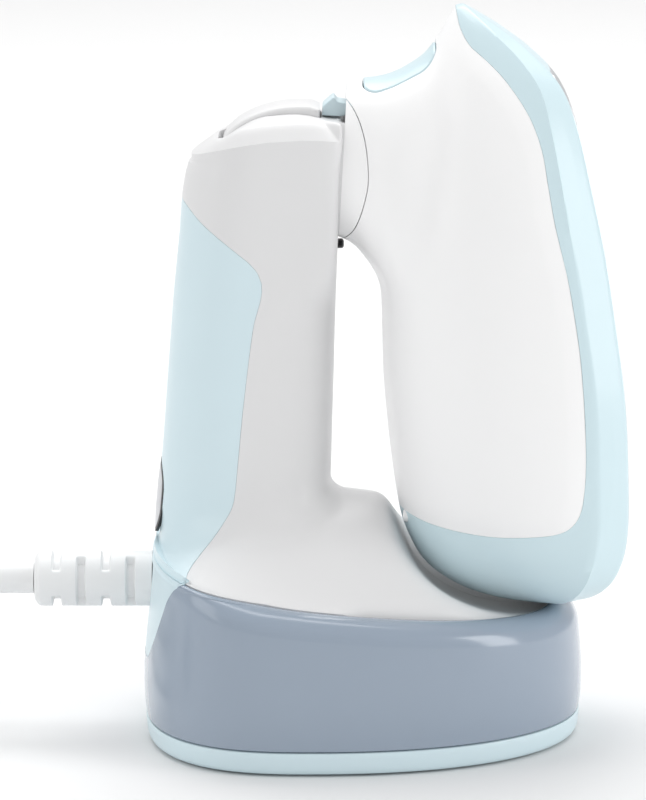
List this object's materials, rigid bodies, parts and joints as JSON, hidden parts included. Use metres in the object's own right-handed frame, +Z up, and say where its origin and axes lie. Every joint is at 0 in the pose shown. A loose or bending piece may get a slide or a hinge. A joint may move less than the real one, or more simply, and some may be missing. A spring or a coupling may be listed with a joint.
{
  "type": "handheld steamer",
  "caption": "Compact garment steamer that stands on its water tank, with a steam head that swivels from folded beside the handle to upright, and a coiled mains lead.",
  "frame": {"origin": "middle of the footprint of the steamer without its cord, on the standing surface", "axes": "+X the way the steam plate faces, +Z up, the cord leaves towards -X"},
  "size_m": [0.285, 0.1514, 0.1822],
  "materials": {
    "white_plastic": "satin moulded ABS",
    "light_blue_plastic": "satin moulded ABS, pale blue",
    "tank_plastic": "smooth tinted plastic, slate blue",
    "dark_plastic": "matt black",
    "steel": "plain steel",
    "aluminium": "satin",
    "silver_plastic": "silver lacquer",
    "grey_rubber": "soft silicone",
    "cord_sheath": "satin PVC, off-white",
    "circuit_board": "solder mask"
  },
  "bodies": {
    "handle": {"body_shell_left": "white_plastic", "body_shell_right": "white_plastic", "capacitor": "dark_plastic", "chassis_plate": "white_plastic", "clamp_screw_1": "steel", "clamp_screw_2": "steel", "control_board": "circuit_board", "cord_clamp": "dark_plastic", "cord_coil": "cord_sheath", "cord_lead": "cord_sheath", "cord_tail": "cord_sheath", "lock_pin": "steel", "lock_spring": "steel", "plug_body": "cord_sheath", "plug_pin_1": "steel", "plug_pin_2": "steel", "power_bezel": "dark_plastic", "power_switch": "dark_plastic", "pressure_hose": "grey_rubber", "pump_body": "dark_plastic", "pump_mount": "grey_rubber", "rear_panel": "light_blue_plastic", "relay": "dark_plastic", "stop_bumper": "dark_plastic", "strain_relief": "cord_sheath", "suction_filter": "white_plastic", "suction_tube": "grey_rubber", "swivel_bushing": "dark_plastic", "terminal_block": "white_plastic"},
    "head": {"head_shell_left": "white_plastic", "head_shell_right": "white_plastic", "head_frame": "light_blue_plastic", "steam_plate": "aluminium", "plate_gasket": "dark_plastic", "neck_collar": "white_plastic", "swivel_shaft": "steel", "retaining_ring": "steel", "wave_washer": "steel", "boiler_body": "aluminium", "boiler_cover": "aluminium", "thermostat": "steel", "thermal_fuse": "white_plastic", "boiler_screw_1": "steel", "boiler_screw_2": "steel", "boiler_screw_3": "steel", "boiler_screw_4": "steel", "head_hose": "grey_rubber", "trigger_switch": "dark_plastic", "trigger_spring": "steel", "trigger_pin": "steel"},
    "trigger": {"trigger": "light_blue_plastic"},
    "lock_lever": {"lock_lever": "white_plastic", "lock_latch": "light_blue_plastic"},
    "power_button": {"power_button": "silver_plastic"},
    "tank": {"water_tank": "tank_plastic", "tank_base": "light_blue_plastic", "foot_1": "grey_rubber", "foot_2": "grey_rubber", "foot_3": "grey_rubber", "foot_4": "grey_rubber"}
  },
  "joints": [
    {"name": "head_swivel", "type": "hinge", "parent": "handle", "child": "head", "pos_m": [-0.0124, 0, 0.1395], "axis": [0.9986, 0, -0.0523], "range_deg": [0, 180]},
    {"name": "trigger_pull", "type": "hinge", "parent": "head", "child": "trigger", "pos_m": [0.0134, 0, 0.166], "axis": [0, -1, 0], "range_deg": [0, 5], "stiffness_Nm_per_rad": 0.3, "springref_deg": -5.73},
    {"name": "lock_rock", "type": "hinge", "parent": "handle", "child": "lock_lever", "pos_m": [-0.026, 0, 0.147], "axis": [0, -1, 0], "range_deg": [0, 6], "stiffness_Nm_per_rad": 0.3, "springref_deg": -5.73},
    {"name": "power_press", "type": "slide", "parent": "handle", "child": "power_button", "axis": [1, 0, 0], "range_m": [0, 0.0015], "stiffness_N_per_m": 800, "springref_m": -0.0015},
    {"name": "tank_release", "type": "slide", "parent": "handle", "child": "tank", "axis": [0, 0, -1], "range_m": [0, 0.05]}
  ]
}
